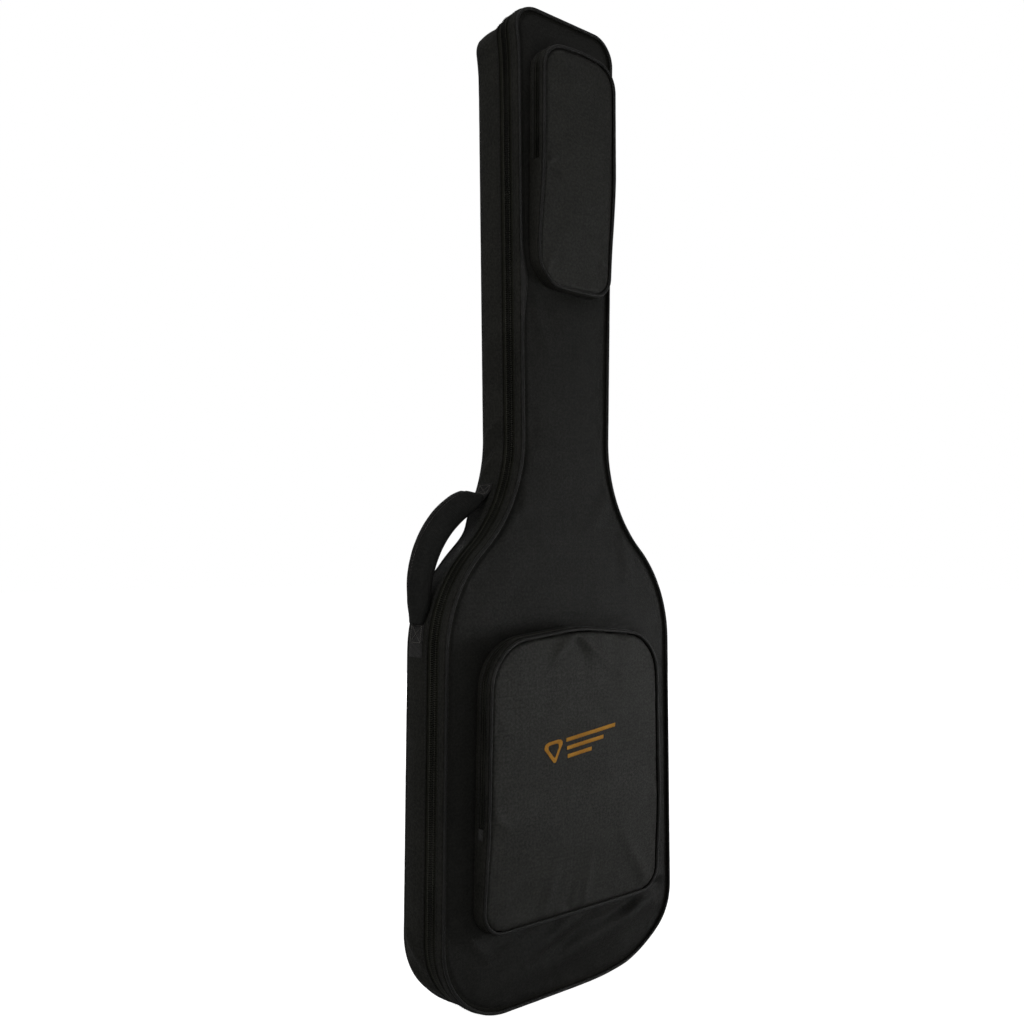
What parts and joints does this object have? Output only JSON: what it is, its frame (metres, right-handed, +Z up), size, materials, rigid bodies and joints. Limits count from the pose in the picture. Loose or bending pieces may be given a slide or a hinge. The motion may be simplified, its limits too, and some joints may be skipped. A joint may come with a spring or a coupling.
{
  "type": "padded gig bag",
  "caption": "Padded gig bag for a bass guitar with a zipped hinged lid, zipped head and music pockets, side handle and shoulder straps.",
  "frame": {"origin": "centre of the base, on the surface that the bag stands on, midway between the front of the pockets and the back of the straps", "axes": "+Z up along the bag, the pockets face -Y, +X to the right seen from the front; the handle is on the -X side and the lid's hinge on the +X side"},
  "size_m": [0.3904, 0.1099, 1.2],
  "materials": {
    "cover_fabric": "coated polyester with a fine weave",
    "foam": "closed-cell foam",
    "lining_fabric": "brushed lining",
    "piping": "covered cord with a soft sheen",
    "zip_tape": "woven tape",
    "zip_coil": "nylon coil",
    "tab_webbing": "ribbed webbing",
    "zip_metal": "black enamel",
    "grip_fabric": "padded polyester",
    "buckle_plastic": "moulded acetal",
    "thread": "satin stitch embroidery"
  },
  "bodies": {
    "tray": {"back_cover": "cover_fabric", "back_foam": "foam", "back_lining": "lining_fabric", "rear_gusset_cover": "cover_fabric", "rear_gusset_foam": "foam", "rear_gusset_lining": "lining_fabric", "back_piping": "piping", "rear_zip_tape": "zip_tape", "rear_zip_coil": "zip_coil", "rear_zip_tabs": "tab_webbing", "handle_anchors": "tab_webbing", "handle_webbing": "tab_webbing", "handle_grip": "grip_fabric", "strap_top_anchor": "tab_webbing", "strap_low_anchors": "tab_webbing", "left_strap_pad": "grip_fabric", "right_strap_pad": "grip_fabric", "left_ladder_lock": "buckle_plastic", "right_ladder_lock": "buckle_plastic", "left_strap_webbing": "tab_webbing", "right_strap_webbing": "tab_webbing"},
    "lid": {"front_cover": "cover_fabric", "front_foam": "foam", "front_lining": "lining_fabric", "front_strip": "cover_fabric", "front_piping": "piping", "front_zip_tape": "zip_tape", "front_zip_coil": "zip_coil", "front_zip_tabs": "tab_webbing", "head_pocket_gusset": "cover_fabric", "head_pouch_panel": "cover_fabric", "head_pouch_piping": "piping", "head_zip_rear": "zip_tape", "head_zip_tabs": "tab_webbing", "music_pocket_gusset": "cover_fabric", "music_pouch_panel": "cover_fabric", "music_pouch_piping": "piping", "music_zip_rear": "zip_tape", "music_zip_tabs": "tab_webbing"},
    "head_flap": {"head_flap_panel": "cover_fabric", "head_flap_gusset": "cover_fabric", "head_flap_piping": "piping", "head_zip_front": "zip_tape"},
    "music_flap": {"music_flap_panel": "cover_fabric", "music_flap_gusset": "cover_fabric", "music_flap_piping": "piping", "music_zip_front": "zip_tape", "embroidery": "thread"},
    "upper_slider": {"upper_slider": "zip_metal"},
    "upper_pull": {"upper_pull": "zip_metal"},
    "lower_slider": {"lower_slider": "zip_metal"},
    "lower_pull": {"lower_pull": "zip_metal"},
    "head_slider": {"head_slider": "zip_metal"},
    "head_pull": {"head_pull": "zip_metal"},
    "music_slider": {"music_slider": "zip_metal"},
    "music_pull": {"music_pull": "zip_metal"}
  },
  "joints": [
    {"name": "lid_hinge", "type": "hinge", "parent": "tray", "child": "lid", "pos_m": [0.1978, -0.00545, 0.00002], "axis": [-0.0151, 0, 0.9999], "range_deg": [0, 170]},
    {"name": "upper_slider_travel", "type": "slide", "parent": "tray", "child": "upper_slider", "axis": [0.0151, 0, 0.9999], "range_m": [0, 0.205]},
    {"name": "upper_pull_swing", "type": "hinge", "parent": "upper_slider", "child": "upper_pull", "pos_m": [0.0821, -0.00545, 0.94144], "axis": [0, -1, 0], "range_deg": [0, 150]},
    {"name": "lower_slider_travel", "type": "slide", "parent": "tray", "child": "lower_slider", "axis": [0.0151, 0, 0.9999], "range_m": [-0.215, 0]},
    {"name": "lower_pull_swing", "type": "hinge", "parent": "lower_slider", "child": "lower_pull", "pos_m": [0.08175, -0.00545, 0.91844], "axis": [0, -1, 0], "range_deg": [0, 105]},
    {"name": "head_flap_fold", "type": "hinge", "parent": "lid", "child": "head_flap", "pos_m": [0, -0.05525, 1.012], "axis": [1, 0, 0], "range_deg": [0, 150]},
    {"name": "head_slider_travel", "type": "slide", "parent": "lid", "child": "head_slider", "axis": [-0.0069, 0, 1], "range_m": [0, 0.085]},
    {"name": "head_pull_swing", "type": "hinge", "parent": "head_slider", "child": "head_pull", "pos_m": [0.06699, -0.04145, 1.02203], "axis": [0, -1, 0], "range_deg": [0, 165]},
    {"name": "music_flap_fold", "type": "hinge", "parent": "lid", "child": "music_flap", "pos_m": [0, -0.05525, 0.227], "axis": [1, 0, 0], "range_deg": [0, 150]},
    {"name": "music_slider_travel", "type": "slide", "parent": "lid", "child": "music_slider", "axis": [-0.0237, 0, 0.9997], "range_m": [0, 0.13]},
    {"name": "music_pull_swing", "type": "hinge", "parent": "music_slider", "child": "music_pull", "pos_m": [0.15186, -0.04145, 0.2371], "axis": [0, -1, 0], "range_deg": [0, 165]}
  ]
}
